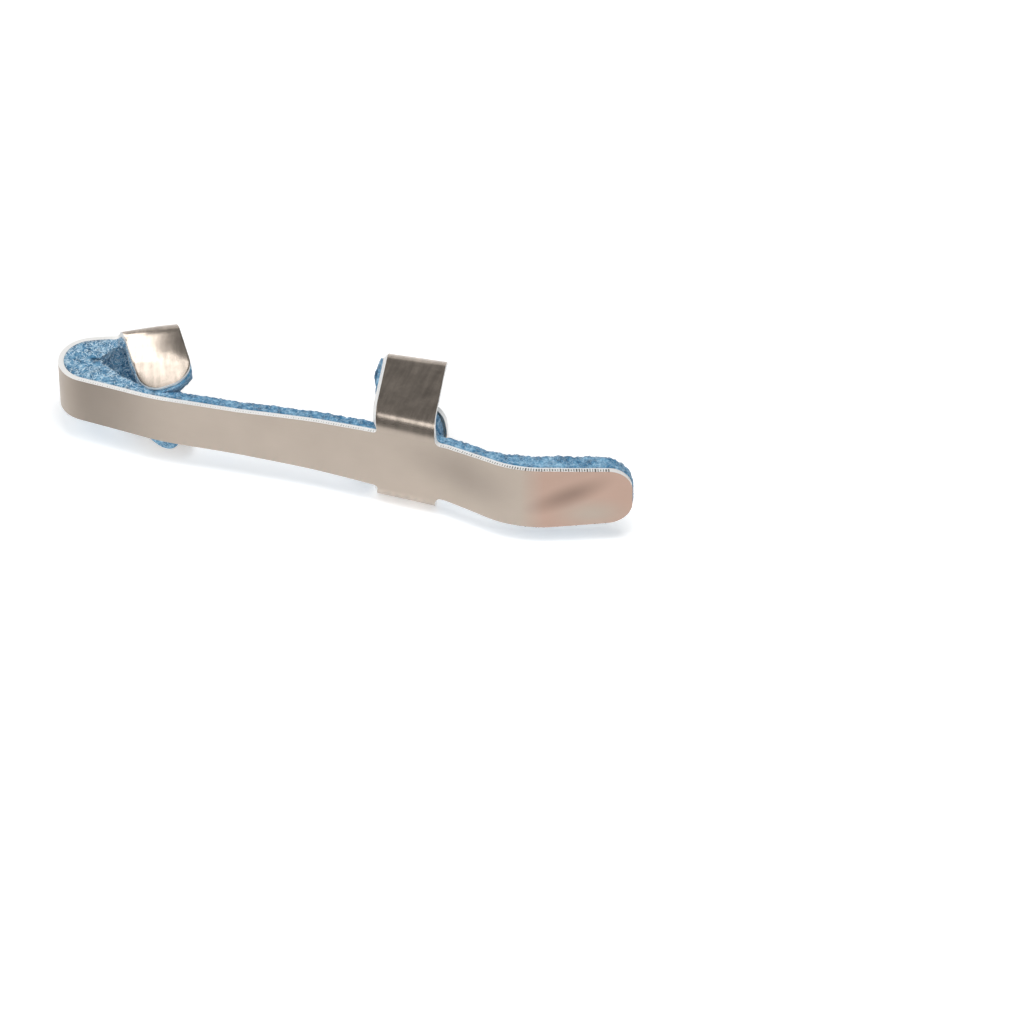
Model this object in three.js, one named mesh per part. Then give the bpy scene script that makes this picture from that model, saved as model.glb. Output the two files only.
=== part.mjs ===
// Finger splint: one cross-shaped blank of soft aluminium sheet, folded by hand, with a foam pad glued all
// over its inner side. The strip runs from its heel through the collar to the nose, where it turns back on
// itself, and its short return leg ends above the run. One pair of wings folds into the collar. The other
// pair, the hood, is at the strip's end and folds down over both sides of the U-turn's mouth.
//
// Units are millimetres, +Z is up. The splint lies on its side, so the strip stands on edge and every line
// across it is parallel to Z. The heel points to +X, the nose to -X, and the padded side of the run to +Y.

import * as THREE from "three";

// Sheet and pad
const SHEET_THICKNESS = 1.2;
const GLUE_GAP = 0.3;
const PAD_OVERHANG = 0.2; // how far the pad stands out past the sheet's cut edge

// Widths of the strip
const HEEL_END_WIDTH = 13.5;
const HEEL_BEND_WIDTH = 15.4;
const COLLAR_SEAT_WIDTH = 14.4;
const RUN_WIDTH = 11.7;
const TOE_WIDTH = 10.8;
const HEEL_CORNER_RADIUS = 5;

// Straight lengths of the strip, from the heel to the end of the return leg
const HEEL_LENGTH = 17.7;
const RAMP_LENGTH = 9.7;
const COLLAR_LENGTH = 26.5;
const RUN_LENGTH = 28;
const TOE_LENGTH = 13.7;
const RETURN_LENGTH = 13.3;

// Bends of the strip: radii of its outer face, and turns in degrees, positive towards the padded side
const HEEL_BEND_RADIUS = 22.5;
const HEEL_BEND_TURN = 32.4;
const RAMP_BEND_RADIUS = 6;
const RAMP_BEND_TURN = -11;
const RUN_BEND_RADIUS = 60;
const RUN_BEND_TURN = -4.6;
const TOE_BEND_RADIUS = 60;
const TOE_BEND_TURN = 7.6;
const NOSE_RADIUS = 7.4;
const NOSE_TURN = 147.5;
const EXIT_BEND_RADIUS = 32;
const EXIT_BEND_TURN = 8.5;

// Wings of the collar, each folded square twice into a C
const COLLAR_WING_WIDTH = 12.9;
const COLLAR_SETBACK = 0.6; // from the ramp's bend to the wing's root fillet
const COLLAR_HEEL_SIDE = 14.3; // straight side, at the wing's edge towards the heel
const COLLAR_TOE_SIDE = 13; // the same at its edge towards the toe
const COLLAR_FLAP_LENGTH = 4.6;
const COLLAR_NEAR_RADIUS = 4.9;
const COLLAR_FAR_RADIUS = 5.4;
const COLLAR_CORNER_RADIUS = 4;
const COLLAR_LEAN = 0.2; // drift towards the toe for each millimetre along the wing

// Wings of the hood, folded down from the return leg
const HOOD_WING_WIDTH = 11.4;
const HOOD_SIDE_LENGTH = 9.2;
const HOOD_END_LENGTH = 2.1;
const HOOD_HEEL_RADIUS = 5.9; // near bend, at the wing's edge towards the heel
const HOOD_NOSE_RADIUS = 5.1; // the same at its edge towards the nose
const HOOD_FAR_RADIUS = 8.2;
const HOOD_FAR_TURN = 28;
const HOOD_CORNER_RADIUS = 4.8;
const HOOD_LEAN = 0.2; // drift towards the heel

const ROOT_FILLET = 1; // where a wing leaves the strip
const SQUARE_TURN = 90;

// Thickness of the foam, and how far a wing's foam creeps out from under the sheet
const HEEL_FOAM = 3.4;
const RUN_FOAM = 2.1;
const NOSE_FOAM = 4;
const RETURN_FOAM = 2.8;
const COLLAR_FOAM = 2.4;
const HOOD_FOAM = 1.8;
const FOAM_GROOVE = 0.18; // share of the thickness that is pressed out along the middle
const COLLAR_SIDE_CREEP = 1.2;
const HOOD_END_CREEP = 0.4;

// Steps of the faceted surfaces
const BEND_STEP = 9;
const STRAIGHT_STEP = 7;
const CORNER_STEPS = 5;
const CLOSEST_STEP = 0.2;
const ACROSS_PAD = 6;
const ACROSS_WING = 4;

const { degToRad, radToDeg, lerp, clamp } = THREE.MathUtils;

// A line drawn in a plane: straight stretches, each followed by a bend. A positive turn goes to the right of
// the way the line runs, and its right side is the inner, padded one.
class BentLine {
  constructor(startAngle, stretches) {
    this.pieces = [];
    this.marks = {};
    this.length = 0;
    this.end = { point: new THREE.Vector2(), angle: degToRad(startAngle) };
    for (const { name, straight = 0, radius = 1, turn = 0 } of stretches) {
      this.marks[name] = this.length;
      if (straight) this.add(straight, 0);
      if (turn) this.add(Math.abs(degToRad(turn)) * radius, Math.sign(turn) / radius);
    }
  }

  add(length, curvature) {
    const piece = { ...this.end, curvature, from: this.length, to: this.length + length };
    this.pieces.push(piece);
    this.end = BentLine.walk(piece, length);
    this.length = piece.to;
  }

  static walk({ point, angle, curvature }, distance) {
    const half = (curvature * distance) / 2;
    const chord = half ? (distance * Math.sin(half)) / half : distance;
    const way = new THREE.Vector2(Math.cos(angle - half), Math.sin(angle - half));
    return { point: point.clone().addScaledVector(way, chord), angle: angle - 2 * half };
  }

  // Where the line is at a distance along it, which way it runs there and which way is inward
  at(distance) {
    const reached = clamp(distance, 0, this.length);
    const piece = this.pieces.find(({ to }) => reached <= to) ?? this.pieces.at(-1);
    const { point, angle } = BentLine.walk(piece, reached - piece.from);
    const along = new THREE.Vector2(Math.cos(angle), Math.sin(angle));
    const inward = new THREE.Vector2(along.y, -along.x);
    return { point: point.addScaledVector(along, distance - reached), along, inward };
  }

  // Distances at which a faceted surface needs an edge
  steps() {
    return this.pieces.flatMap(({ from, to, curvature }) => {
      const turn = radToDeg(Math.abs(curvature) * (to - from));
      const count = Math.ceil(curvature ? turn / BEND_STEP : (to - from) / STRAIGHT_STEP);
      return Array.from({ length: count }, (_, i) => lerp(from, to, (i + 1) / count));
    });
  }
}

const strip = new BentLine(180 + HEEL_BEND_TURN + RAMP_BEND_TURN, [
  { name: "heel", straight: HEEL_LENGTH, radius: HEEL_BEND_RADIUS, turn: HEEL_BEND_TURN },
  { name: "ramp", straight: RAMP_LENGTH, radius: RAMP_BEND_RADIUS, turn: RAMP_BEND_TURN },
  { name: "collar", straight: COLLAR_LENGTH, radius: RUN_BEND_RADIUS, turn: RUN_BEND_TURN },
  { name: "run", straight: RUN_LENGTH, radius: TOE_BEND_RADIUS, turn: TOE_BEND_TURN },
  { name: "toe", straight: TOE_LENGTH },
  { name: "nose", radius: NOSE_RADIUS, turn: NOSE_TURN },
  { name: "exit", radius: EXIT_BEND_RADIUS, turn: EXIT_BEND_TURN },
  { name: "return", straight: RETURN_LENGTH },
]);

const foldLine = ({ nearRadius, side, farRadius, farTurn, end }) =>
  new BentLine(90, [
    { name: "near bend", radius: nearRadius, turn: SQUARE_TURN },
    { name: "side", straight: side, radius: farRadius, turn: farTurn },
    { name: "end", straight: end },
  ]);

// The wings, each pair alike: where it leaves the strip, its root fillets, its outline, how its pad creeps
// out, and the lines that its first and last edges are folded along. The splint tapers towards its nose, so
// the two lines differ. The hood is flush with the strip's end, so it has a fillet on one side only.
const collarFold = {
  nearRadius: COLLAR_NEAR_RADIUS,
  farRadius: COLLAR_FAR_RADIUS,
  farTurn: SQUARE_TURN,
  end: COLLAR_FLAP_LENGTH,
};
const hoodFold = {
  side: HOOD_SIDE_LENGTH,
  farRadius: HOOD_FAR_RADIUS,
  farTurn: HOOD_FAR_TURN,
  end: HOOD_END_LENGTH,
};
const collarStart = strip.marks.collar + COLLAR_SETBACK + ROOT_FILLET;
const WINGS = [
  {
    start: collarStart,
    end: collarStart + COLLAR_WING_WIDTH,
    fillets: [ROOT_FILLET, ROOT_FILLET],
    corner: COLLAR_CORNER_RADIUS,
    lean: COLLAR_LEAN,
    sideCreep: COLLAR_SIDE_CREEP,
    endCreep: 0,
    foam: COLLAR_FOAM,
    folds: [
      foldLine({ ...collarFold, side: COLLAR_HEEL_SIDE }),
      foldLine({ ...collarFold, side: COLLAR_TOE_SIDE }),
    ],
  },
  {
    start: strip.length - HOOD_WING_WIDTH,
    end: strip.length,
    fillets: [ROOT_FILLET, 0],
    corner: HOOD_CORNER_RADIUS,
    lean: HOOD_LEAN,
    sideCreep: 0,
    endCreep: HOOD_END_CREEP,
    foam: HOOD_FOAM,
    folds: [
      foldLine({ ...hoodFold, nearRadius: HOOD_NOSE_RADIUS }),
      foldLine({ ...hoodFold, nearRadius: HOOD_HEEL_RADIUS }),
    ],
  },
];

for (const wing of WINGS) {
  const [first, last] = wing.folds;
  wing.length = (first.length + last.length) / 2;
}

const rootOf = ({ start, end, fillets }, overhang) => [start - fillets[0], end + (fillets[1] || overhang)];
const [collarRoot, hoodRoot] = WINGS.map((wing) => rootOf(wing, 0));

const WIDTHS = [
  { at: 0, value: HEEL_END_WIDTH },
  { at: HEEL_LENGTH, value: HEEL_BEND_WIDTH },
  { at: strip.marks.ramp, value: HEEL_BEND_WIDTH },
  { at: collarRoot[0], value: COLLAR_SEAT_WIDTH },
  { at: collarRoot[1], value: COLLAR_SEAT_WIDTH },
  { at: strip.marks.run + RUN_LENGTH / 2, value: RUN_WIDTH },
  { at: strip.marks.nose, value: TOE_WIDTH },
];

const FOAM_THICKNESSES = [
  { at: HEEL_LENGTH, value: HEEL_FOAM },
  { at: collarRoot[0], value: COLLAR_FOAM },
  { at: strip.marks.run, value: RUN_FOAM },
  { at: strip.marks.toe, value: RUN_FOAM },
  { at: strip.marks.nose, value: NOSE_FOAM },
  { at: strip.marks.exit, value: NOSE_FOAM },
  { at: hoodRoot[0], value: RETURN_FOAM },
];

function valueAt(table, distance) {
  const next = table.findIndex(({ at }) => distance < at);
  if (next <= 0) return table.at(next).value;
  const [before, after] = [table[next - 1], table[next]];
  return lerp(before.value, after.value, (distance - before.at) / (after.at - before.at));
}

// How much a round corner takes off at a distance short of the edge that it runs out to
const cornerCut = (radius, short) =>
  short < radius ? radius - Math.sqrt(Math.max(radius ** 2 - (radius - short) ** 2, 0)) : 0;

// Distances short of that edge at which a round corner needs a vertex
function cornerSteps(radius) {
  const quarter = Math.PI / 2;
  return Array.from({ length: CORNER_STEPS }, (_, i) => {
    return radius * (1 - Math.cos(((i + 1) / CORNER_STEPS) * quarter));
  });
}

const halfWidth = (distance, overhang) =>
  valueAt(WIDTHS, distance) / 2 + overhang - cornerCut(HEEL_CORNER_RADIUS + overhang, distance + overhang);

// The stretch of strip that a wing spans at a distance from its root
function wingSpan(wing, distance, overhang, creep) {
  const reach = wing.length + overhang + creep * wing.endCreep;
  const cut = cornerCut(wing.corner + overhang, reach - distance);
  const [startFlare, endFlare] = wing.fillets.map((fillet) =>
    fillet ? cornerCut(fillet - overhang, distance - overhang) : 0,
  );
  const drift = wing.lean * (distance - overhang);
  const sideCreep = creep * wing.sideCreep * Math.min((distance - overhang) / wing.corner, 1);
  const start = wing.start - overhang - startFlare + cut;
  const end = wing.end + overhang + endFlare - cut + sideCreep;
  return [start + drift, end + drift];
}

function mergedSteps(values, from, to) {
  const inside = values.filter((value) => value > from + CLOSEST_STEP && value < to - CLOSEST_STEP);
  const sorted = inside.sort((a, b) => a - b);
  return [from, ...sorted.filter((value, i) => i === 0 || value - sorted[i - 1] > CLOSEST_STEP), to];
}

// Stations along the strip: free ones up to each wing's root, then evenly spaced ones in the root
function stationsOf(overhang) {
  const corner = cornerSteps(HEEL_CORNER_RADIUS + overhang).map((step) => step - overhang);
  const wanted = [...strip.steps(), ...WIDTHS.map(({ at }) => at), ...corner];
  let from = -overhang;
  return WINGS.flatMap((wing) => {
    const [start, end] = rootOf(wing, overhang);
    const free = mergedSteps(wanted, from, start).slice(from < 0 ? 0 : 1, -1);
    const root = Array.from({ length: ACROSS_WING + 1 }, (_, i) => lerp(start, end, i / ACROSS_WING));
    from = end;
    return [...free.map((at) => ({ at })), ...root.map((at) => ({ at, wing }))];
  });
}

// A point of the blank in space: at along the strip, v across it, and a depth below the sheet's outer face
function folded(at, v, depth, wing) {
  const half = wing ? halfWidth(wing.start, 0) : Infinity;
  const beyond = Math.max(Math.abs(v) - half, 0);
  if (beyond) {
    const share = clamp((at - wing.lean * beyond - wing.start) / (wing.end - wing.start), 0, 1);
    const [first, last] = wing.folds.map((fold) => fold.at(beyond));
    const inwards = first.inward.lerp(last.inward, share).normalize();
    const section = first.point.lerp(last.point, share).addScaledVector(inwards, depth);
    const seat = strip.at((wing.start + wing.end) / 2);
    const flat = seat.point.addScaledVector(seat.along, at - (wing.start + wing.end) / 2);
    flat.addScaledVector(seat.inward, section.x);
    return new THREE.Vector3(flat.x, flat.y, Math.sign(v) * (half + section.y));
  }
  const { point, inward } = strip.at(at);
  const flat = point.addScaledVector(inward, depth);
  return new THREE.Vector3(flat.x, flat.y, v);
}

// One layer of the folded blank as a closed solid. Its outline stands out past the sheet's by overhang, and
// it fills the space between the two depths that depthsAt gives for a place on the blank.
function foldedLayer({ overhang = 0, creep = 0, across = 1, depthsAt }) {
  const points = [];
  const quads = [];
  const vertex = (at, v, wing) => {
    const column = depthsAt(at, v, wing).map((depth) => folded(at, v, depth, wing));
    return points.push(column) - 1;
  };
  const patch = (rows, flip) => {
    for (let i = 1; i < rows.length; i++) {
      for (let j = 1; j < rows[i].length; j++) {
        const quad = [rows[i - 1][j - 1], rows[i][j - 1], rows[i][j], rows[i - 1][j]];
        quads.push(flip ? quad.reverse() : quad);
      }
    }
  };

  const stations = stationsOf(overhang).map(({ at, wing }) => {
    const half = halfWidth(at, overhang);
    const row = Array.from({ length: across + 1 }, (_, k) => vertex(at, lerp(-half, half, k / across), wing));
    return { wing, row };
  });
  patch(stations.map(({ row }) => row), false);

  for (const wing of WINGS) {
    const root = stations.filter((station) => station.wing === wing);
    const reach = wing.length + overhang + creep * wing.endCreep;
    const wanted = [
      ...wing.folds.flatMap((fold) => fold.steps()),
      ...cornerSteps(ROOT_FILLET - overhang).map((step) => overhang + step),
      ...cornerSteps(wing.corner + overhang).map((step) => reach - step),
    ];
    const half = halfWidth(wing.start, 0);
    for (const side of [-1, 1]) {
      const rows = mergedSteps(wanted, overhang, reach).slice(1).map((distance) => {
        const [start, end] = wingSpan(wing, distance, overhang, creep);
        const columns = Array.from({ length: ACROSS_WING + 1 }, (_, j) => lerp(start, end, j / ACROSS_WING));
        return columns.map((at) => vertex(at, side * (half + distance), wing));
      });
      patch([root.map(({ row }) => row.at(side < 0 ? 0 : -1)), ...rows], side > 0);
    }
  }
  return closedSolid(points, quads);
}

// Both faces of a layer and the walls along its free edges
function closedSolid(points, quads) {
  const outer = (i) => 2 * i;
  const inner = (i) => 2 * i + 1;
  const edges = new Map();
  const triangles = [];
  for (const quad of quads) {
    const [a, b, c, d] = quad;
    triangles.push(...[a, b, c, a, c, d].map(inner), ...[a, c, b, a, d, c].map(outer));
    quad.forEach((from, i) => edges.set(`${from} ${quad[(i + 1) % 4]}`, [from, quad[(i + 1) % 4]]));
  }
  for (const [from, to] of edges.values()) {
    if (edges.has(`${to} ${from}`)) continue;
    triangles.push(outer(from), outer(to), inner(to), outer(from), inner(to), inner(from));
  }
  const geometry = new THREE.BufferGeometry().setFromPoints(points.flat());
  geometry.setIndex(triangles);
  geometry.computeVertexNormals();
  return geometry;
}

function makeSheet() {
  const geometry = foldedLayer({ depthsAt: () => [0, SHEET_THICKNESS] });
  const material = new THREE.MeshStandardMaterial({ color: 0xc4b6a8, roughness: 0.35, metalness: 1 });
  const mesh = new THREE.Mesh(geometry, material);
  mesh.name = "aluminium_splint";
  return mesh;
}

// The pad is thinnest along the middle of the strip, and comes to a wing's own thickness in its near bend
function makePad() {
  const depthsAt = (at, v, wing) => {
    const half = halfWidth(wing ? wing.start : at, 0);
    const groove = FOAM_GROOVE * Math.max(1 - (v / half) ** 2, 0);
    const onStrip = valueAt(FOAM_THICKNESSES, wing ? clamp(at, ...rootOf(wing, 0)) : at) * (1 - groove);
    const onWing = wing ? clamp((Math.abs(v) - half) / wing.folds[0].marks.side, 0, 1) : 0;
    const glued = SHEET_THICKNESS + GLUE_GAP;
    return [glued, glued + lerp(onStrip, wing?.foam ?? 0, onWing)];
  };
  const geometry = foldedLayer({ overhang: PAD_OVERHANG, creep: 1, across: ACROSS_PAD, depthsAt });
  const material = new THREE.MeshStandardMaterial({ color: 0x6fa3c4, roughness: 0.95, metalness: 0 });
  const mesh = new THREE.Mesh(geometry, material);
  mesh.name = "foam_lining";
  return mesh;
}

// The whole splint, with its middle over the origin and its lowest wing on the ground
const splint = new THREE.Group();
splint.add(makeSheet(), makePad());
const box = new THREE.Box3().setFromObject(splint);
const middle = box.getCenter(new THREE.Vector3());
splint.position.set(-middle.x, -middle.y, -box.min.z);

export default splint;
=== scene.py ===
import math

import bpy
import numpy as np
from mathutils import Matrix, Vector, noise


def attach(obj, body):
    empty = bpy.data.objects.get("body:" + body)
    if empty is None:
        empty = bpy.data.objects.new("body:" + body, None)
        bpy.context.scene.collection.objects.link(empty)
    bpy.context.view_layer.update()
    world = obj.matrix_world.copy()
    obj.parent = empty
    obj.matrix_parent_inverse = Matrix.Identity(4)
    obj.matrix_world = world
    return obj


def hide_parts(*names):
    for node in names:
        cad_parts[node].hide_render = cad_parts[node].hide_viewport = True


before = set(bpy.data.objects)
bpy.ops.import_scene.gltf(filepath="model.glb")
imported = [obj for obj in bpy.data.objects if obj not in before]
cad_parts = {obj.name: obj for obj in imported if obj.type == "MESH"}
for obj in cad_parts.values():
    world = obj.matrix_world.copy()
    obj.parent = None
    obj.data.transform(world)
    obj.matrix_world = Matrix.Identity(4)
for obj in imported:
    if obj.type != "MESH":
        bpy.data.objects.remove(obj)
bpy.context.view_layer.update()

# Aluminium sheet
# One blank of soft aluminium, sheared to the outline of a cross and folded to shape: the strip with its
# turned-back nose, a pair of wings for the collar and a pair for the hood. Nothing is riveted or sewn to it.
mm = 0.001
HEEL_END = Vector((63.872, -5.390, 12.1)) * mm  # middle of the heel's cut edge, on the outer face
STRIP_HEADING = 201.4  # degrees, the way in which the strip leaves the heel's end
SHEET_THICKNESS = 1.2 * mm
SHEET_SPACING = 0.5 * mm  # between the vertices of the mesh
EDGE_ROUNDING = 0.26 * mm  # of the sheared and deburred edges
FACE_WAVE = 0.10 * mm  # how far the folded faces are from true
WAVE_LENGTH = 9 * mm

HEEL_END_WIDTH = 13.5 * mm
HEEL_BEND_WIDTH = 15.4 * mm
COLLAR_SEAT_WIDTH = 14.4 * mm
RUN_WIDTH = 11.7 * mm
TOE_WIDTH = 10.8 * mm
HEEL_CORNER_RADIUS = 5 * mm
HEEL_LENGTH = 17.7 * mm
RUN_LENGTH = 28 * mm

COLLAR_WING_WIDTH = 12.9 * mm
COLLAR_SETBACK = 0.6 * mm  # from the ramp's bend to the wing's root fillet
COLLAR_HEEL_SIDE = 14.3 * mm  # straight side, at the wing's edge towards the heel
COLLAR_TOE_SIDE = 13 * mm  # the same at its edge towards the toe
COLLAR_NEAR_RADIUS = 4.9 * mm
COLLAR_FAR_RADIUS = 5.4 * mm
COLLAR_FLAP_LENGTH = 4.6 * mm
COLLAR_CORNER_RADIUS = 4 * mm
COLLAR_LIP = 0.9 * mm  # slant of the cut at the wing's edge towards the toe, where the shear dragged it
COLLAR_LIP_START = 2 * mm  # along the wing, to where the slant is in full
HOOD_WING_WIDTH = 11.4 * mm
HOOD_CORNER_RADIUS = 4.8 * mm
HOOD_TURN_DOWN = 1.9 * mm  # how far the hood wings' edges towards the nose are pressed in
HOOD_LIFT = 1.8 * mm  # how much further the lower hood wing's end is bent in than the upper one's
WING_LEAN = 0.2  # drift along the strip for each metre along a wing
ROOT_FILLET = 1 * mm
CREEP_START = 7 * mm  # along a wing, where what is glued to it begins to stand out at its last side
CREEP_RUN = 7 * mm  # from there to where it stands out in full

GRAIN_CELLS = (160, 5200, 1)  # for each metre along the strip and across it
STREAK_CELLS = (900, 120, 1)
SHEAR_CELLS = (2600, 2600, 1)
SATIN_DARK = (0.410, 0.352, 0.300, 1)
SATIN_LIGHT = (0.495, 0.428, 0.368, 1)
HEEL_TINT = (1.06, 0.84, 0.79, 1)
SHEARED_DARK = (0.86, 0.85, 0.83, 1)
SHEARED_LIGHT = (1.0, 0.99, 0.97, 1)


class BentLine:
    """Straight stretches in a plane, each followed by a bend; positive turns go right, to the inner side."""

    def __init__(self, start_angle, stretches):
        self.marks = {}
        self.pieces = []
        self.length = 0.0
        self.end = (0.0, 0.0, math.radians(start_angle))
        for name, straight, radius, turn in stretches:
            self.marks[name] = self.length
            self.add(straight, 0.0)
            self.add(abs(math.radians(turn)) * radius, math.copysign(1 / radius, turn))
        self.table = np.array(self.pieces)

    def add(self, length, curvature):
        if length == 0:
            return
        piece = (self.length, *self.end, curvature)
        self.pieces.append(piece)
        self.length += length
        x, y, angle = self.walk(np.array([piece]), length)
        self.end = (float(x[0]), float(y[0]), float(angle[0]))

    @staticmethod
    def walk(piece, distance):
        half = piece[:, 4] * distance / 2
        chord = distance * np.sinc(half / math.pi)
        way = piece[:, 3] - half
        return piece[:, 1] + chord * np.cos(way), piece[:, 2] + chord * np.sin(way), way - half

    def at(self, distance):
        """Points of the line at some distances along it, its direction there, and the way inwards."""
        distance = np.atleast_1d(distance)
        reached = np.clip(distance, 0, self.length)
        piece = self.table[np.searchsorted(self.table[:, 0], reached, side="right") - 1]
        x, y, angle = self.walk(piece, reached - piece[:, 0])
        along = np.stack([np.cos(angle), np.sin(angle)], 1)
        point = np.stack([x, y], 1) + along * (distance - reached)[:, None]
        return point, along, np.stack([along[:, 1], -along[:, 0]], 1)


def fold_line(near_radius, side, far_radius, far_turn, end):
    return BentLine(90, [
        ("near bend", 0, near_radius, 90),
        ("side", side, far_radius, far_turn),
        ("end", end, 1, 0),
    ])


strip = BentLine(STRIP_HEADING, [
    # name, straight length, radius of the bend after it, its turn in degrees
    ("heel", HEEL_LENGTH, 22.5 * mm, 32.4),
    ("ramp", 9.7 * mm, 6 * mm, -11),
    ("collar", 26.5 * mm, 60 * mm, -4.6),
    ("run", RUN_LENGTH, 60 * mm, 7.6),
    ("toe", 13.7 * mm, 1, 0),
    ("nose", 0, 7.4 * mm, 147.5),
    ("exit", 0, 32 * mm, 8.5),
    ("return", 13.3 * mm, 1, 0),
])

collar_start = strip.marks["collar"] + COLLAR_SETBACK + ROOT_FILLET
wings = [
    {
        "start": collar_start,
        "end": collar_start + COLLAR_WING_WIDTH,
        "fillets": (ROOT_FILLET, ROOT_FILLET),
        "corner": COLLAR_CORNER_RADIUS,
        "turn_down": 0,
        "lift": 0,
        "folds": [
            fold_line(COLLAR_NEAR_RADIUS, side, COLLAR_FAR_RADIUS, 90, COLLAR_FLAP_LENGTH)
            for side in (COLLAR_HEEL_SIDE, COLLAR_TOE_SIDE)
        ],
    },
    {
        "start": strip.length - HOOD_WING_WIDTH,
        "end": strip.length,
        "fillets": (ROOT_FILLET, 0),
        "corner": HOOD_CORNER_RADIUS,
        "turn_down": HOOD_TURN_DOWN,
        "lift": HOOD_LIFT,
        "folds": [
            # near radius, side, far radius, its turn in degrees, end; first at the edge towards the nose
            fold_line(4.9 * mm, 7.4 * mm, 8.2 * mm, 30, 3.9 * mm),
            fold_line(6.0 * mm, 10.2 * mm, 8.2 * mm, 27, 1.1 * mm),
        ],
    },
]
for wing in wings:
    wing["length"] = sum(fold.length for fold in wing["folds"]) / 2

collar_root, hood_root = [
    (wing["start"] - wing["fillets"][0], wing["end"] + wing["fillets"][1]) for wing in wings
]
width_places, widths = zip(
    # place along the strip, its width there
    (0, HEEL_END_WIDTH),
    (HEEL_LENGTH, HEEL_BEND_WIDTH),
    (strip.marks["ramp"], HEEL_BEND_WIDTH),
    (collar_root[0], COLLAR_SEAT_WIDTH),
    (collar_root[1], COLLAR_SEAT_WIDTH),
    (strip.marks["run"] + RUN_LENGTH / 2, RUN_WIDTH),
    (strip.marks["nose"], TOE_WIDTH),
)


def corner_cut(radius, short):
    """How much a round corner takes off at a distance short of the edge that it runs out to."""
    inside = np.clip(radius - short, 0, radius)
    return radius - np.sqrt(radius**2 - inside**2)


def half_width(at, overhang):
    corner = corner_cut(HEEL_CORNER_RADIUS + overhang, at + overhang)
    return np.interp(at, width_places, widths) / 2 + overhang - corner


def spread(start, end, spacing, start_corner=0.0, end_corner=0.0):
    """Distances from start to end, closer together on a round corner."""
    groups = []
    for edge, inward, corner in ((start, 1, start_corner), (end, -1, end_corner)):
        count = max(math.ceil(corner * math.pi / 2 / spacing), 1)
        turns = np.linspace(0, math.pi / 2, count, endpoint=False)
        groups.append(edge + inward * corner * (1 - np.cos(turns)))
    first, last = start + start_corner, end - end_corner
    groups.append(np.linspace(first, last, math.ceil((last - first) / spacing) + 1))
    return np.unique(np.concatenate(groups).round(9))


def folded(at, across, depth, wing):
    """Points of the blank in space: at along the strip, across it, and a depth below the outer face."""
    point, along, inward = strip.at(at)
    flat = point + inward * depth[:, None]
    places = np.column_stack([flat, across])
    if wing is None:
        return places
    half = float(half_width(np.array(wing["start"]), 0))
    beyond = np.maximum(np.abs(across) - half, 0)
    share = np.clip((at - WING_LEAN * beyond - wing["start"]) / (wing["end"] - wing["start"]), 0, 1)[:, None]
    (first, _, first_in), (last, _, last_in) = [fold.at(beyond) for fold in wing["folds"]]
    inwards = first_in * (1 - share) + last_in * share
    inwards /= np.linalg.norm(inwards, axis=1)[:, None]
    on_roll = np.clip(beyond / wing["folds"][0].marks["side"], 0, 1)
    pressed = wing["turn_down"] * (1 - share[:, 0]) ** 2 * on_roll
    section = first * (1 - share) + last * share + inwards * (depth + pressed)[:, None]
    raised = wing["lift"] * np.clip(beyond / wing["length"], 0, 1) ** 4 * (across < 0)
    middle = (wing["start"] + wing["end"]) / 2
    seat, seat_along, seat_inward = [value[0] for value in strip.at(middle)]
    flat = seat + seat_along * (at - middle)[:, None] + seat_inward * section[:, :1]
    bent = np.column_stack([flat, np.sign(across) * (half + section[:, 1]) + raised])
    return np.where(beyond[:, None] > 0, bent, places)


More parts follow.
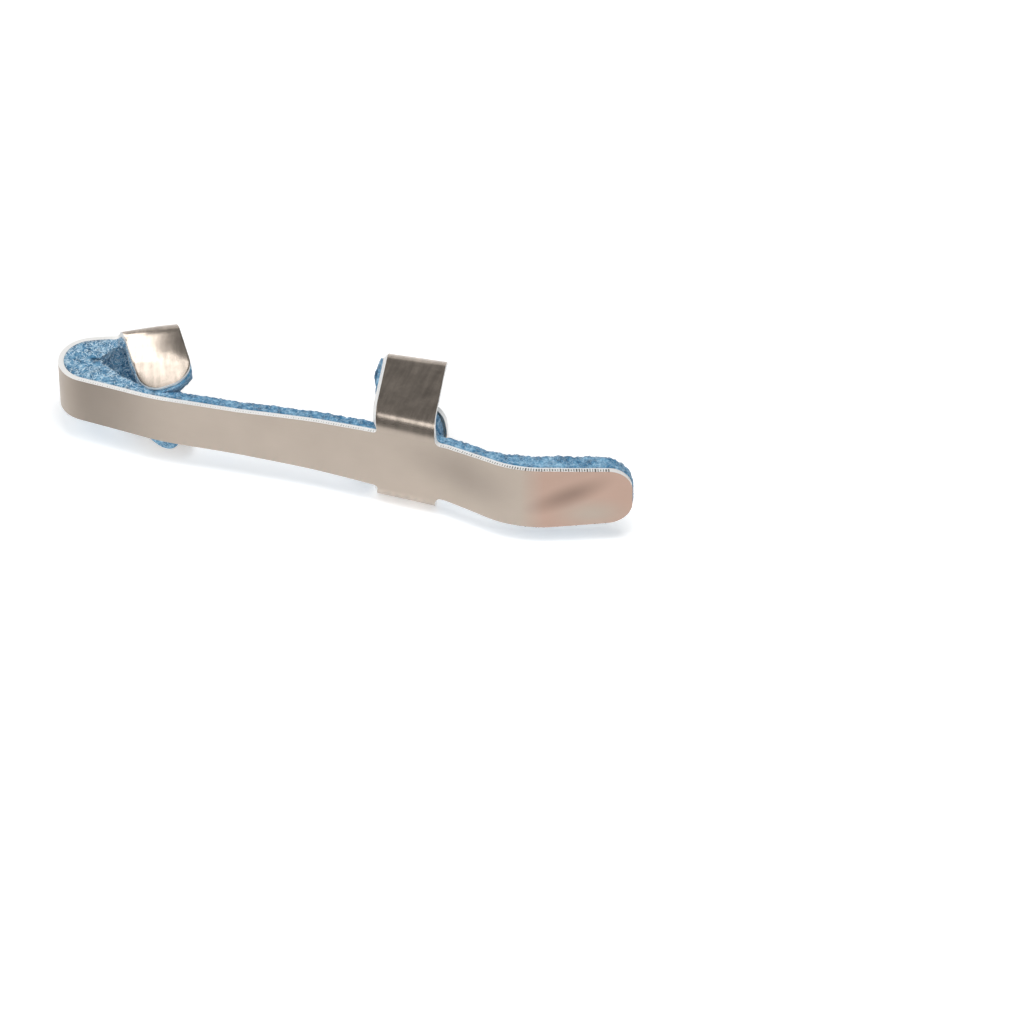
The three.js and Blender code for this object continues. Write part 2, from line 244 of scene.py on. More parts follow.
def blank_grid(spacing, overhang=0.0, start_creep=(0, 0), side_creep=(0, 0), end_creep=((0, 0), (0, 0))):
    """The flat blank as a net: places (along, across), the wing each belongs to, and its quads.

    A creep is how much further than the overhang a wing reaches at its first side, at its last side,
    and at the ends of its lower and upper halves; the first two have a value for each pair of wings.
    """
    places, owners, quads = [], [], []

    def add_row(at, across, owner):
        places.extend(zip(at, across))
        owners.extend([owner] * len(at))
        return np.arange(len(places) - len(at), len(places))

    def join(rows, flip):
        for near, far in zip(rows, rows[1:]):
            for a, b, c, d in zip(near, far, far[1:], near[1:]):
                quads.append((d, c, b, a) if flip else (a, b, c, d))

    columns = math.ceil(HEEL_BEND_WIDTH / spacing)
    rows, roots = [], []
    start = -overhang
    for owner, (wing, (root_start, root_end)) in enumerate(zip(wings, (collar_root, hood_root))):
        root_start -= overhang
        root_end = root_end + overhang if not wing["fillets"][1] else root_end
        corner = HEEL_CORNER_RADIUS + overhang if owner == 0 else 0
        free = spread(start, root_start, spacing, corner)[(0 if owner == 0 else 1):-1]
        in_root = np.linspace(root_start, root_end, math.ceil((root_end - root_start) / spacing) + 1)
        for at, row_owner in [(at, -1) for at in free] + [(at, owner) for at in in_root]:
            half = float(half_width(np.array(at), overhang))
            rows.append(add_row([at] * (columns + 1), np.linspace(-half, half, columns + 1), row_owner))
        roots.append(rows[-len(in_root):])
        start = root_end
    join(rows, False)

    for owner, (wing, root) in enumerate(zip(wings, roots)):
        half = float(half_width(np.array(wing["start"]), 0))
        fillet = ROOT_FILLET - overhang
        for side, creep_past_end in zip((-1, 1), end_creep[owner]):
            reach = wing["length"] + overhang + creep_past_end
            wing_rows = [[row[0 if side < 0 else -1] for row in root]]
            for distance in spread(overhang, reach, spacing, fillet, wing["corner"] + overhang)[1:]:
                cut = corner_cut(wing["corner"] + overhang, reach - distance)
                flares = [corner_cut(fillet, distance - overhang) if f else 0 for f in wing["fillets"]]
                drift = WING_LEAN * (distance - overhang)
                grown = min((distance - overhang) / wing["corner"], 1)
                slid = min(max(distance - overhang - CREEP_START, 0) / CREEP_RUN, 1)
                first = wing["start"] - overhang - flares[0] + cut + drift + start_creep[owner] * grown
                last = wing["end"] + overhang + flares[1] - cut + drift + side_creep[owner] * slid
                across = side * (half + distance)
                wing_rows.append(add_row(np.linspace(first, last, len(root)), [across] * len(root), owner))
            join(wing_rows, side > 0)
    return np.array(places), np.array(owners), quads


def placed(places, owners, depth):
    """The net's points folded into space at a depth for each point."""
    points = np.zeros((len(places), 3))
    for owner in (-1, 0, 1):
        chosen = owners == owner
        wing = None if owner < 0 else wings[owner]
        points[chosen] = folded(places[chosen, 0], places[chosen, 1], depth[chosen], wing)
    return points


def rim_of(quads):
    """The net's free edges, each running the way its quad does."""
    edges = {}
    for quad in quads:
        for pair in zip(quad, (*quad[1:], quad[0])):
            edges[pair] = True
    return [pair for pair in edges if pair[::-1] not in edges]


def layered_mesh(name, net, depths, wall_steps, slant=0.0):
    """A closed mesh between two depths of the blank, and each vertex's (along, across, share of depth).

    The slant is how far each point of the second layer is moved along the strip.
    """
    places, owners, quads = net
    inner_places = places + np.stack([slant * np.ones(len(places)), np.zeros(len(places))], 1)
    rim = rim_of(quads)
    rim_points = np.array([start for start, _ in rim])
    count = len(places)
    layers = [placed(places, owners, depths[0]), placed(inner_places, owners, depths[1])]
    shares = [np.zeros(count), np.ones(count)]
    flat = [places, places]
    steps = [np.arange(count)]
    for step in range(1, wall_steps):
        share = step / wall_steps
        depth = depths[0] * (1 - share) + depths[1] * share
        index = np.full(count, -1)
        index[rim_points] = sum(len(layer) for layer in layers) + np.arange(len(rim_points))
        layers.append(placed(places[rim_points], owners[rim_points], depth[rim_points]))
        flat.append(places[rim_points])
        shares.append(np.full(len(rim_points), share))
        steps.append(index)
    steps.append(np.arange(count) + count)
    faces = [tuple(i + count for i in quad) for quad in quads]
    faces += [tuple(quad[::-1]) for quad in quads]
    for lower, upper in zip(steps, steps[1:]):
        faces += [(lower[a], lower[b], upper[b], upper[a]) for a, b in rim]
    points = np.concatenate(layers) + np.array(HEEL_END)
    mesh = bpy.data.meshes.new(name)
    mesh.from_pydata(points.tolist(), [], [tuple(int(i) for i in face) for face in faces])
    mesh.update()
    mesh.shade_smooth()
    return mesh, np.column_stack([np.concatenate(flat), np.concatenate(shares)]), 2 * len(quads)


def write_uv(mesh, flat):
    """A UV map in metres of the flat blank, so a pattern on it follows the folds."""
    uv = mesh.uv_layers.new(name="blank")
    corners = np.zeros(len(mesh.loops), int)
    mesh.loops.foreach_get("vertex_index", corners)
    uv.data.foreach_set("uv", flat[corners, :2].astype(np.float32).ravel())


def node_maker(tree):
    """A function that adds a node to the tree, with its options, and its inputs set or linked."""

    def node(kind, inputs=(), **settings):
        made = tree.nodes.new(kind)
        for key, value in settings.items():
            setattr(made, key, value)
        for key, value in dict(inputs).items():
            if isinstance(value, bpy.types.NodeSocket):
                tree.links.new(value, made.inputs[key])
            else:
                made.inputs[key].default_value = value
        return made

    return node


def new_material(name):
    material = bpy.data.materials.new(name)
    material.use_nodes = True
    tree = material.node_tree
    return material, tree.nodes["Principled BSDF"], node_maker(tree), tree.links


def wave(places):
    """How far the folded faces lie below the true ones at some places of the blank."""
    return np.array([
        FACE_WAVE * noise.noise(Vector((at, across, 0)) / WAVE_LENGTH) for at, across in places
    ])


sheet_net = blank_grid(SHEET_SPACING)
net_places, net_owners, _ = sheet_net
outer_depth = wave(net_places)
# the cut of the collar wings' edges towards the toe slants, so that its bright face shows from outside
collar = wings[0]
reached = np.abs(net_places[:, 1]) - half_width(np.array(collar["start"]), 0)
share = (net_places[:, 0] - WING_LEAN * reached - collar["start"]) / COLLAR_WING_WIDTH
on_cut = (net_owners == 0) * (share > 0.97)
slant = COLLAR_LIP * on_cut * np.clip(reached / COLLAR_LIP_START, 0, 1)
sheet_mesh, sheet_flat, wall_from = layered_mesh(
    "aluminium_sheet", sheet_net, (outer_depth, outer_depth + SHEET_THICKNESS), 1, slant
)
write_uv(sheet_mesh, sheet_flat)
sheet = bpy.data.objects.new("aluminium_sheet", sheet_mesh)
bpy.context.scene.collection.objects.link(sheet)

# the satin faces: rolled along the strip, lightly brushed, and a little uneven from the bending, with some
# shade and highlight painted into their colour
satin, shader, node, links = new_material("satin_aluminium")
uv = node("ShaderNodeUVMap", uv_map="blank").outputs["UV"]
along_grain = node("ShaderNodeMapping", {"Vector": uv, "Scale": GRAIN_CELLS}).outputs["Vector"]
grain = node("ShaderNodeTexNoise", {"Vector": along_grain, "Scale": 1.0, "Detail": 4.0, "Roughness": 0.6})
place = node("ShaderNodeTexCoord").outputs["Object"]
cloud = node("ShaderNodeTexNoise", {"Vector": place, "Scale": 75.0, "Detail": 3.0, "Roughness": 0.55})
# a colour mix has its two colours in the inputs 6 and 7, a mix of values in 2 and 3
tone = node("ShaderNodeMix", data_type="RGBA")
links.new(cloud.outputs["Fac"], tone.inputs["Factor"])
tone.inputs[6].default_value = SATIN_DARK
tone.inputs[7].default_value = SATIN_LIGHT
blank_place = node("ShaderNodeSeparateXYZ", {"Vector": uv})
# the wings are painted lighter than the strip and blotched, as painted highlights with a mottled painted
# reflection; the strip is even
away = node("ShaderNodeMath", {0: blank_place.outputs["Y"]}, operation="ABSOLUTE").outputs["Value"]
on_wing = node("ShaderNodeMapRange", {
    "Value": away, "From Min": 7.5 * mm, "From Max": 11.5 * mm,
}).outputs["Result"]
blotch = node("ShaderNodeTexNoise", {"Vector": place, "Scale": 300.0, "Detail": 5.0, "Roughness": 0.62})
streak_place = node("ShaderNodeMapping", {"Vector": uv, "Scale": STREAK_CELLS}).outputs["Vector"]
streaks = node("ShaderNodeTexNoise", {"Vector": streak_place, "Scale": 1.0, "Detail": 4.0})
both = node("ShaderNodeMath", {0: blotch.outputs["Fac"], 1: streaks.outputs["Fac"]}, operation="ADD")
uneven = node("ShaderNodeMapRange", {
    "Value": both.outputs["Value"], "From Min": 0.65, "From Max": 1.35, "To Min": 0.85, "To Max": 1.50,
}).outputs["Result"]
wing_highlight_and_blotch = node("ShaderNodeMix", data_type="FLOAT")
links.new(on_wing, wing_highlight_and_blotch.inputs["Factor"])
wing_highlight_and_blotch.inputs[2].default_value = 1.0
links.new(uneven, wing_highlight_and_blotch.inputs[3])
# painted shade: the face darkens over the last 24 mm before the nose and lightens again a little into its
# bend
from_nose = node("ShaderNodeMath", {
    0: blank_place.outputs["X"], 1: strip.marks["nose"],
}, operation="SUBTRACT").outputs["Value"]
before = node("ShaderNodeMapRange", {
    "Value": from_nose, "From Min": -24 * mm, "From Max": -2 * mm, "To Min": 1.0, "To Max": 0.62,
}, interpolation_type="SMOOTHSTEP").outputs["Result"]
after = node("ShaderNodeMapRange", {
    "Value": from_nose, "From Min": -2 * mm, "From Max": 6 * mm, "To Min": 0.0, "To Max": 0.30,
}, interpolation_type="SMOOTHSTEP").outputs["Result"]
painted_nose_shade = node("ShaderNodeMath", {0: before, 1: after}, operation="ADD").outputs["Value"]
level = node("ShaderNodeMath", {0: painted_nose_shade, 1: wing_highlight_and_blotch.outputs[0]}, operation="MULTIPLY").outputs["Value"]


def around(middle, reach, turn, near, far):
    """A value that goes softly from near to far with the distance from a place of the flat blank."""
    moved = node("ShaderNodeMapping", {"Vector": uv, "Location": (-middle[0], -middle[1], 0)})
    turned = node("ShaderNodeVectorRotate", {
        "Vector": moved.outputs["Vector"], "Angle": turn,
    }, rotation_type="Z_AXIS")
    share_of_reach = node("ShaderNodeVectorMath", {
        0: turned.outputs["Vector"], 1: (1 / reach[0], 1 / reach[1], 0),
    }, operation="MULTIPLY").outputs["Vector"]
    distance = node("ShaderNodeVectorMath", {0: share_of_reach}, operation="LENGTH").outputs["Value"]
    return node("ShaderNodeMapRange", {
        "Value": distance, "To Min": near, "To Max": far,
    }, interpolation_type="SMOOTHSTEP").outputs["Result"]


# the heel is a little redder, as if once warmed, with a darker band across it
at_heel = node("ShaderNodeMapRange", {
    "Value": blank_place.outputs["X"],
    "From Min": 18.5 * mm, "From Max": 23.5 * mm, "To Min": 1.0, "To Max": 0.0,
}).outputs["Result"]
not_grey = around((8.5 * mm, -4.2 * mm), (10 * mm, 5.2 * mm), 0, 0.10, 0.85)
tinting = node("ShaderNodeMath", {0: at_heel, 1: not_grey}, operation="MULTIPLY").outputs["Value"]
tint = node("ShaderNodeMix", data_type="RGBA", blend_type="MULTIPLY")
links.new(tinting, tint.inputs["Factor"])
links.new(tone.outputs[2], tint.inputs[6])
tint.inputs[7].default_value = HEEL_TINT
darker_heel_band = around((13.5 * mm, 0.8 * mm), (12.2 * mm, 3.7 * mm), 0.42, 0.64, 1.0)
# painted shade: a soft darker patch on the face of the strip just before the collar
shade = around((37 * mm, 2 * mm), (17 * mm, 9 * mm), -0.2, 0.76, 1.0)
heel_band_and_painted_shade = node("ShaderNodeMath", {0: darker_heel_band, 1: shade}, operation="MULTIPLY").outputs["Value"]
final_level = node("ShaderNodeMath", {0: level, 1: heel_band_and_painted_shade}, operation="MULTIPLY").outputs["Value"]
tinted = node("ShaderNodeVectorMath", {0: tint.outputs[2], "Scale": final_level}, operation="SCALE")
links.new(tinted.outputs["Vector"], shader.inputs["Base Color"])
shine = node("ShaderNodeMapRange", {"Value": grain.outputs["Fac"], "To Min": 0.32, "To Max": 0.48})
# the wings are rubbed smoother than the strip
smoother = node("ShaderNodeMath", {0: on_wing, 1: -0.18}, operation="MULTIPLY").outputs["Value"]
roughness = node("ShaderNodeMath", {
    0: shine.outputs["Result"], 1: smoother,
}, operation="ADD").outputs["Value"]
links.new(roughness, shader.inputs["Roughness"])
bump = node("ShaderNodeBump", {"Height": grain.outputs["Fac"], "Strength": 0.10, "Distance": 0.04 * mm})
links.new(bump.outputs["Normal"], shader.inputs["Normal"])
shader.inputs["Metallic"].default_value = 1.0
sheet_mesh.materials.append(satin)

# the sheared edges: bright bare metal with fine marks across its thickness
sheared, shader, node, links = new_material("sheared_aluminium")
uv = node("ShaderNodeUVMap", uv_map="blank").outputs["UV"]
across_marks = node("ShaderNodeMapping", {"Vector": uv, "Scale": SHEAR_CELLS}).outputs["Vector"]
marks = node("ShaderNodeTexNoise", {"Vector": across_marks, "Scale": 1.0, "Detail": 3.0})
tone = node("ShaderNodeMix", data_type="RGBA")
links.new(marks.outputs["Fac"], tone.inputs["Factor"])
tone.inputs[6].default_value = SHEARED_DARK
tone.inputs[7].default_value = SHEARED_LIGHT
links.new(tone.outputs[2], shader.inputs["Base Color"])
shader.inputs["Metallic"].default_value = 0.25
shader.inputs["Roughness"].default_value = 0.6
sheet_mesh.materials.append(sheared)
material_of_face = np.zeros(len(sheet_mesh.polygons), np.int32)
material_of_face[wall_from:] = 1
sheet_mesh.polygons.foreach_set("material_index", material_of_face)

rounding = sheet.modifiers.new("deburred edge", "BEVEL")
rounding.width = EDGE_ROUNDING
rounding.segments = 2
rounding.limit_method = "ANGLE"
rounding.angle_limit = math.radians(42)
rounding.material = 1
flat_faces = sheet.modifiers.new("flat faces", "WEIGHTED_NORMAL")
flat_faces.keep_sharp = False
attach(sheet, "root")
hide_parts("aluminium_splint")

# Shear marks
# The shear leaves burrs across the strip's cut edges, short, close together and uneven, and deepest at
# the heel, where the blank was parted from the next one. They are the sheet's own metal.
MARK_PITCH = 0.55 * mm
MARK_SEED = 7
MARK_SIZE = (0.28 * mm, 0.90 * mm, 0.13 * mm)  # along the edge, through the thickness, and standing proud
BURR_COLOUR = (0.22, 0.205, 0.185, 1)
MARK_DEPTH = 0.42 * mm  # of their middle below the outer face
FADE_PLACES = (22 * mm, 30 * mm, 60 * mm, 80 * mm)  # along the strip
FADE_STRENGTHS = (1.0, 0.62, 0.50, 0.30)  # of the marks at those places
edge_points, edge_lines, edge_strength = [], [], []
stretches = ((HEEL_CORNER_RADIUS, collar_root[0]), (collar_root[1], strip.marks["nose"]))
for side in (-1, 1):
    for start, end in stretches:
        at = spread(start, end, SHEET_SPACING)
        line = folded(at, side * half_width(at, 0), np.full(len(at), MARK_DEPTH), None) + np.array(HEEL_END)
        edge_lines += [(len(edge_points) + i, len(edge_points) + i + 1) for i in range(len(at) - 1)]
        edge_points += line.tolist()
        fade = np.interp(at, FADE_PLACES, FADE_STRENGTHS)
        edge_strength += fade.tolist()
guide_mesh = bpy.data.meshes.new("shear_marks")
guide_mesh.from_pydata(edge_points, edge_lines, [])
strength = guide_mesh.attributes.new("strength", "FLOAT", "POINT")
strength.data.foreach_set("value", edge_strength)
guide = bpy.data.objects.new("shear_marks_guide", guide_mesh)
bpy.context.scene.collection.objects.link(guide)

burr, shader, node, links = new_material("sheared_burr")
shader.inputs["Base Color"].default_value = BURR_COLOUR
shader.inputs["Metallic"].default_value = 0.7
shader.inputs["Roughness"].default_value = 0.5

tree = bpy.data.node_groups.new("marks along an edge", "GeometryNodeTree")
tree.interface.new_socket("Edge", in_out="INPUT", socket_type="NodeSocketGeometry")
pitch_socket = tree.interface.new_socket("Pitch", in_out="INPUT", socket_type="NodeSocketFloat")
size_socket = tree.interface.new_socket("Mark size", in_out="INPUT", socket_type="NodeSocketVector")
seed_socket = tree.interface.new_socket("Seed", in_out="INPUT", socket_type="NodeSocketInt")
finish_socket = tree.interface.new_socket("Finish", in_out="INPUT", socket_type="NodeSocketMaterial")
tree.interface.new_socket("Marks", in_out="OUTPUT", socket_type="NodeSocketGeometry")

step = node_maker(tree)
given = step("NodeGroupInput").outputs
line = step("GeometryNodeMeshToCurve", {"Mesh": given["Edge"]}).outputs["Curve"]
line = step("GeometryNodeResampleCurve", {
    "Curve": line, "Length": given["Pitch"],
}, mode="LENGTH").outputs["Curve"]
mark = step("GeometryNodeMeshCube", {"Size": given["Mark size"]}).outputs["Mesh"]
way = step("GeometryNodeInputTangent").outputs["Tangent"]
turn = step("FunctionNodeAlignRotationToVector", {
    "Vector": way,
}, axis="X", pivot_axis="Z").outputs["Rotation"]
force = step("GeometryNodeInputNamedAttribute", {"Name": "strength"}, data_type="FLOAT")
uneven = step("FunctionNodeRandomValue", {
    "Min": (0.5, 0.5, 0.5), "Max": (1.2, 1.1, 1.1), "Seed": given["Seed"],
}, data_type="FLOAT_VECTOR")
size = step("ShaderNodeVectorMath", {
    0: uneven.outputs["Value"], "Scale": force.outputs["Attribute"],
}, operation="SCALE").outputs["Vector"]
marks = step("GeometryNodeInstanceOnPoints", {
    "Points": line, "Instance": mark, "Rotation": turn, "Scale": size,
})
solid = step("GeometryNodeRealizeInstances", {"Geometry": marks.outputs["Instances"]}).outputs["Geometry"]
done = step("GeometryNodeSetMaterial", {"Geometry": solid, "Material": given["Finish"]}).outputs["Geometry"]
step("NodeGroupOutput", {"Marks": done})

along_edge = guide.modifiers.new("marks", "NODES")
along_edge.node_group = tree
along_edge[pitch_socket.identifier] = MARK_PITCH
along_edge[size_socket.identifier] = MARK_SIZE
along_edge[seed_socket.identifier] = MARK_SEED
along_edge[finish_socket.identifier] = burr
evaluated = guide.evaluated_get(bpy.context.evaluated_depsgraph_get())
marks_mesh = bpy.data.meshes.new_from_object(evaluated)
marks_mesh.name = "shear_marks"
bpy.data.objects.remove(guide)
shear_marks = bpy.data.objects.new("shear_marks", marks_mesh)
bpy.context.scene.collection.objects.link(shear_marks)
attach(shear_marks, "root")

# Foam lining
# One die-cut pad of blue open-cell foam, glued to the whole inner side of the sheet. Its cut edges stand
# out past the metal, soft and full of torn cells, and it is thickest in the nose and under the heel.
GLUE_GAP = 0.06 * mm
PAD_OVERHANG = 0.2 * mm
FOAM_SPACING = 0.34 * mm
WALL_STEPS = 7
FOAM_GROOVE = 0.18  # share of the thickness pressed out along the middle
WING_FOAM = (2.4 * mm, 1.8 * mm)  # of the collar's wings and the hood's
TONGUE_DROP = 4.9 * mm  # how far the pad hangs down past the end of the lower hood wing
TONGUE_THINNING = 0.35  # share by which its inner side hangs down less
TONGUE_START = 0.6 * mm  # past the metal's edge, to where it hangs down in full
TONGUE_MIDDLE = 3.5 * mm  # from the lower hood wing's edge towards the nose
TONGUE_HALF_WIDTH = 3.9 * mm
GROUND_CLEARANCE = 0.05 * mm
LOWER_TONGUE = 1.7 * mm  # how far the pad hangs out past the end of the lower hood wing
HOOD_PUFF = 1.3 * mm  # how much thicker the pad is at the hood wings' ends, where nothing presses on it
PUFF_START = 13 * mm  # along a hood wing, where the pad begins to thicken
PUFF_RUN = 8 * mm
CRUMB_DEPTH = 0.19 * mm
CRUMB_SIZES = ((1.1 * mm, 1), (0.5 * mm, 1), (0.27 * mm, 0.5))  # each size with its part of the depth
SWELL_DEPTH = 0.15 * mm
SWELL_LENGTH = 3.1 * mm
FOAM_DARK = (0.018, 0.095, 0.190, 1)
FOAM_BLUE = (0.062, 0.235, 0.420, 1)
FOAM_PALE = (0.300, 0.550, 0.740, 1)
TORN_CELL_AND_GLINT = (0.680, 0.850, 0.950, 1)

foam_places, foam_depths = zip(
    # place along the strip, thickness of the pad there
    (0, 1.5 * mm),
    (5 * mm, 3.3 * mm),
    (HEEL_LENGTH, 3.5 * mm),
    (strip.marks["ramp"] - 3 * mm, 2.7 * mm),
    (strip.marks["ramp"] + 2 * mm, 1.8 * mm),
    (collar_root[0], 2.0 * mm),
    (strip.marks["run"], 2.0 * mm),
    (strip.marks["toe"], 1.9 * mm),
    (strip.marks["nose"] - 9 * mm, 3.0 * mm),
    (strip.marks["nose"] - 5 * mm, 4.7 * mm),
    (strip.marks["nose"] - 2 * mm, 6.3 * mm),
    (strip.marks["nose"], 5.8 * mm),
    (strip.marks["exit"], 5.8 * mm),
    (strip.marks["exit"] + 2 * mm, 6.3 * mm),
    (strip.marks["exit"] + 3.6 * mm, 4.8 * mm),
    (hood_root[0], 2.8 * mm),
)

foam_net = blank_grid(
    FOAM_SPACING,
    PAD_OVERHANG,
    start_creep=(0.9 * mm, 0),
    side_creep=(1.3 * mm, 0),
    end_creep=((0, 0), (LOWER_TONGUE, 0.4 * mm)),
)
places, owners, _ = foam_net
glued_depth = SHEET_THICKNESS + GLUE_GAP + wave(places)
half = np.where(owners < 0, half_width(places[:, 0], 0), 0)
on_wing = np.zeros(len(places))
wing_depth = np.zeros(len(places))
seat_at = places[:, 0].copy()
for owner, (wing, root) in enumerate(zip(wings, (collar_root, hood_root))):
    chosen = owners == owner
    half[chosen] = half_width(np.array(wing["start"]), 0)
    bend = wing["folds"][0].marks["side"]
    on_wing[chosen] = np.clip((np.abs(places[chosen, 1]) - half[chosen]) / bend, 0, 1)
    wing_depth[chosen] = WING_FOAM[owner]
    seat_at[chosen] = np.clip(seat_at[chosen], *root)
groove = FOAM_GROOVE * np.maximum(1 - (places[:, 1] / half) ** 2, 0)
on_strip = np.interp(seat_at, foam_places, foam_depths) * (1 - groove)
foam_depth = glued_depth + on_strip * (1 - on_wing) + wing_depth * on_wing
hood_reach = np.where(owners == 1, np.abs(places[:, 1]) - half, 0)
puff = np.clip((hood_reach - PUFF_START) / PUFF_RUN, 0, 1)
foam_depth += HOOD_PUFF * puff**2 * (3 - 2 * puff)
foam_mesh, foam_flat, _ = layered_mesh("foam_lining_pad", foam_net, (glued_depth, foam_depth), WALL_STEPS)

points = np.zeros(len(foam_mesh.vertices) * 3)
foam_mesh.vertices.foreach_get("co", points)
points = points.reshape(-1, 3)
normals = np.zeros(len(foam_mesh.vertices) * 3)
foam_mesh.vertex_normals.foreach_get("vector", normals)
normals = normals.reshape(-1, 3)
loose = np.clip(foam_flat[:, 2] * 3, 0, 1)
push = np.zeros(len(points))
for i, point in enumerate(points):
    if loose[i] == 0:
        continue
    place = Vector(point)
    swell = noise.noise(place / SWELL_LENGTH) * SWELL_DEPTH
    crumb = sum(part * noise.noise(place / size) for size, part in CRUMB_SIZES)
    push[i] = (swell + crumb * CRUMB_DEPTH) * loose[i]
points += normals * push[:, None]
# the pad's tongue hangs down over the end of the lower hood wing
at, across, share = foam_flat.T
hood = wings[1]
fallen = -across - half_width(np.array(hood["start"]), 0)
from_side = at - WING_LEAN * fallen - hood["start"]
from_side = np.clip(np.minimum(from_side, HOOD_WING_WIDTH - from_side), 0, None)
past_end = fallen - hood["length"] + corner_cut(HOOD_CORNER_RADIUS, from_side)
from_middle = (at - WING_LEAN * fallen - hood["start"] - TONGUE_MIDDLE) / TONGUE_HALF_WIDTH
rounded = np.sqrt(np.clip(1 - from_middle**2, 0, 1))
tongue = np.clip(past_end / TONGUE_START, 0, 1) * rounded * (across < 0)
points[:, 2] -= TONGUE_DROP * (1 - TONGUE_THINNING * share) * tongue
points[:, 2] = np.maximum(points[:, 2], GROUND_CLEARANCE)
foam_mesh.vertices.foreach_set("co", points.ravel())
foam_mesh.update()
foam = bpy.data.objects.new("foam_lining_pad", foam_mesh)
bpy.context.scene.collection.objects.link(foam)

foam_finish, shader, node, links = new_material("blue_open_cell_foam")
place = node("ShaderNodeTexCoord").outputs["Object"]
cells = node("ShaderNodeTexVoronoi", {"Vector": place, "Scale": 1500.0}, feature="DISTANCE_TO_EDGE")
crumbs = node("ShaderNodeTexNoise", {"Vector": place, "Scale": 1700.0, "Detail": 4.0, "Roughness": 0.7})
clouds = node("ShaderNodeTexNoise", {"Vector": place, "Scale": 520.0, "Detail": 3.0, "Roughness": 0.6})
# fine pale curls: torn cell walls, paler than the foam, with painted highlights where they catch the light
curl = node("ShaderNodeTexNoise", {"Vector": place, "Scale": 850.0, "Detail": 2.0, "Distortion": 1.2})
off_curl = node("ShaderNodeMath", {0: curl.outputs["Fac"], 1: 0.5}, operation="SUBTRACT")
from_curl = node("ShaderNodeMath", {0: off_curl.outputs["Value"]}, operation="ABSOLUTE")
on_curl = node("ShaderNodeMapRange", {
    "Value": from_curl.outputs["Value"], "From Min": 0.0, "From Max": 0.058, "To Min": 1.0, "To Max": 0.0,
}).outputs["Result"]
# most of them in the nose, where the pad is squeezed
along = node("ShaderNodeSeparateXYZ", {"Vector": place}).outputs["X"]
in_nose = node("ShaderNodeMapRange", {
    "Value": along, "From Min": -45 * mm, "From Max": -35 * mm, "To Min": 1.0, "To Max": 0.35,
}).outputs["Result"]
curl_share = node("ShaderNodeMath", {0: on_curl, 1: in_nose}, operation="MULTIPLY").outputs["Value"]
mottle = node("ShaderNodeMath", {0: crumbs.outputs["Fac"], 1: clouds.outputs["Fac"]}, operation="ADD")
half_mottle = node("ShaderNodeMath", {0: mottle.outputs["Value"], 1: 0.5}, operation="MULTIPLY")
ramp = node("ShaderNodeValToRGB")
links.new(half_mottle.outputs["Value"], ramp.inputs["Fac"])
ramp.color_ramp.elements[0].position = 0.38
ramp.color_ramp.elements[0].color = FOAM_DARK
ramp.color_ramp.elements[1].position = 0.64
ramp.color_ramp.elements[1].color = FOAM_PALE
middle = ramp.color_ramp.elements.new(0.50)
middle.color = FOAM_BLUE
curled = node("ShaderNodeMix", data_type="RGBA")
links.new(curl_share, curled.inputs["Factor"])
links.new(ramp.outputs["Color"], curled.inputs[6])
curled.inputs[7].default_value = TORN_CELL_AND_GLINT
links.new(curled.outputs[2], shader.inputs["Base Color"])
shader.inputs["Roughness"].default_value = 0.95
shader.inputs["Sheen Weight"].default_value = 0.25
shader.inputs["Sheen Roughness"].default_value = 0.6
walls = node("ShaderNodeMath", {0: cells.outputs["Distance"], 1: -1.5}, operation="MULTIPLY")
height = node("ShaderNodeMath", {0: walls.outputs["Value"], 1: crumbs.outputs["Fac"]}, operation="ADD")
bump = node("ShaderNodeBump", {"Height": height.outputs["Value"], "Strength": 0.8, "Distance": 0.2 * mm})
links.new(bump.outputs["Normal"], shader.inputs["Normal"])
foam_mesh.materials.append(foam_finish)
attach(foam, "root")
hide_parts("foam_lining")

# Floor, lights and camera
# A plain pale floor that glows a little, two soft lights for what is matt, and four dim cards that only
# the metal mirrors: its rolls show the cards as bright bands, and its flat plates the dark between them.
FLOOR_REACH = 4.0
FLOOR_DEPTH = 0.1 * mm  # below the splint
FLOOR_GLOW = 0.40
ROOM_LIGHT = 0.22
floor_mesh = bpy.data.meshes.new("floor")
floor_mesh.from_pydata(
    [(x * FLOOR_REACH, y * FLOOR_REACH, -FLOOR_DEPTH) for x, y in ((-1, -1), (1, -1), (1, 1), (-1, 1))],
    [],
    [(0, 1, 2, 3)],
)
floor = bpy.data.objects.new("floor", floor_mesh)
bpy.context.scene.collection.objects.link(floor)
floor_finish, shader, node, links = new_material("pale_floor")
shader.inputs["Base Color"].default_value = (0.84, 0.84, 0.84, 1)
shader.inputs["Roughness"].default_value = 0.9
shader.inputs["Emission Color"].default_value = (1, 1, 1, 1)
shader.inputs["Emission Strength"].default_value = FLOOR_GLOW
floor_mesh.materials.append(floor_finish)

world = bpy.data.worlds.new("studio")
bpy.context.scene.world = world
world.use_nodes = True
world.node_tree.nodes["Background"].inputs["Color"].default_value = (1.0, 1.0, 1.0, 1)
world.node_tree.nodes["Background"].inputs["Strength"].default_value = ROOM_LIGHT


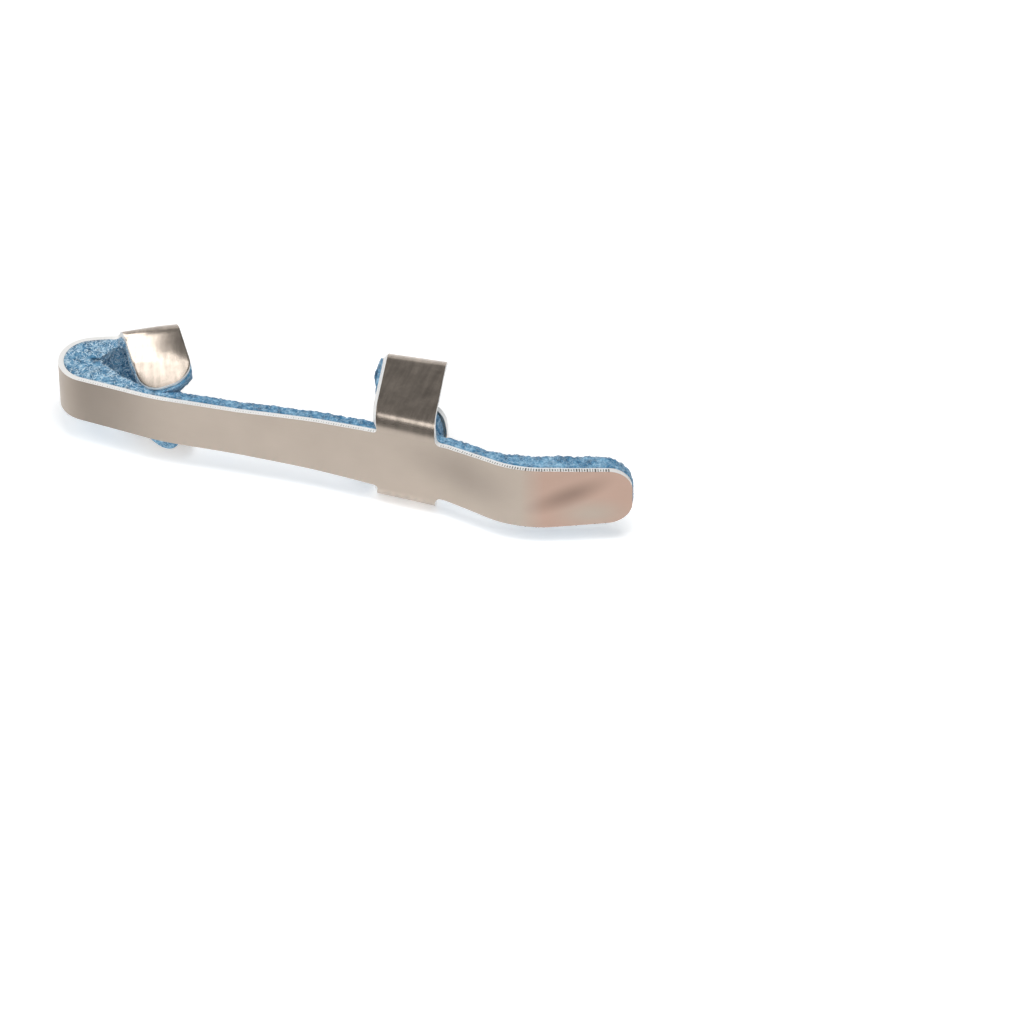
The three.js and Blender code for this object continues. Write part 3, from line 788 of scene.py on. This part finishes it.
def soft_light(name, place, size, watts, lights=True, mirrored=True):
    """A rectangle of light that faces the origin; the matt parts see it, the metal mirrors it, or both."""
    data = bpy.data.lights.new(name, "AREA")
    data.shape = "RECTANGLE"
    data.size, data.size_y = size
    data.energy = watts
    light = bpy.data.objects.new(name, data)
    light.location = place
    light.visible_diffuse = lights
    light.visible_glossy = mirrored
    light.rotation_euler = (-Vector(place)).to_track_quat("-Z", "Y").to_euler()
    bpy.context.scene.collection.objects.link(light)


# the lights that the foam and the floor see, and the cards that the metal mirrors: name, place, size, watts
soft_light("overhead", (0.13, -0.10, 0.75), (0.36, 0.32), 3.3, mirrored=False)
soft_light("front sheet", (-0.25, -0.55, 0.65), (1.1, 0.7), 3.1, mirrored=False)
soft_light("overhead card", (0.15, -0.34, 0.68), (0.9, 0.24), 1.1, lights=False)
soft_light("back card", (-0.33, 0.97, 0.22), (1.5, 0.45), 1.2, lights=False)
soft_light("low left card", (-0.78, 0.49, 0.54), (0.32, 0.66), 2.0, lights=False)
soft_light("high left card", (-0.68, -0.02, 0.78), (0.80, 0.34), 1.8, lights=False)

CAMERA_AZIMUTH = math.radians(18.47)
CAMERA_ELEVATION = math.radians(41.2)
CAMERA_DISTANCE = 1.2
CAMERA_SHIFT = (-0.02546, -0.00276)  # to the right and up, from the heel's end to the middle of the view
CAMERA_LENS = 203.9
right = Vector((math.cos(CAMERA_AZIMUTH), math.sin(CAMERA_AZIMUTH), 0))
forward = Vector((-math.sin(CAMERA_AZIMUTH), math.cos(CAMERA_AZIMUTH), 0))
look = forward * math.cos(CAMERA_ELEVATION) - Vector((0, 0, math.sin(CAMERA_ELEVATION)))
above = forward * math.sin(CAMERA_ELEVATION) + Vector((0, 0, math.cos(CAMERA_ELEVATION)))
camera_data = bpy.data.cameras.new("camera")
camera_data.sensor_width = 36
camera_data.lens = CAMERA_LENS
camera = bpy.data.objects.new("camera", camera_data)
camera.location = HEEL_END + right * CAMERA_SHIFT[0] + above * CAMERA_SHIFT[1] - look * CAMERA_DISTANCE
camera.rotation_euler = look.to_track_quat("-Z", "Y").to_euler()
bpy.context.scene.collection.objects.link(camera)
bpy.context.scene.camera = camera
bpy.context.scene.view_settings.view_transform = "Standard"
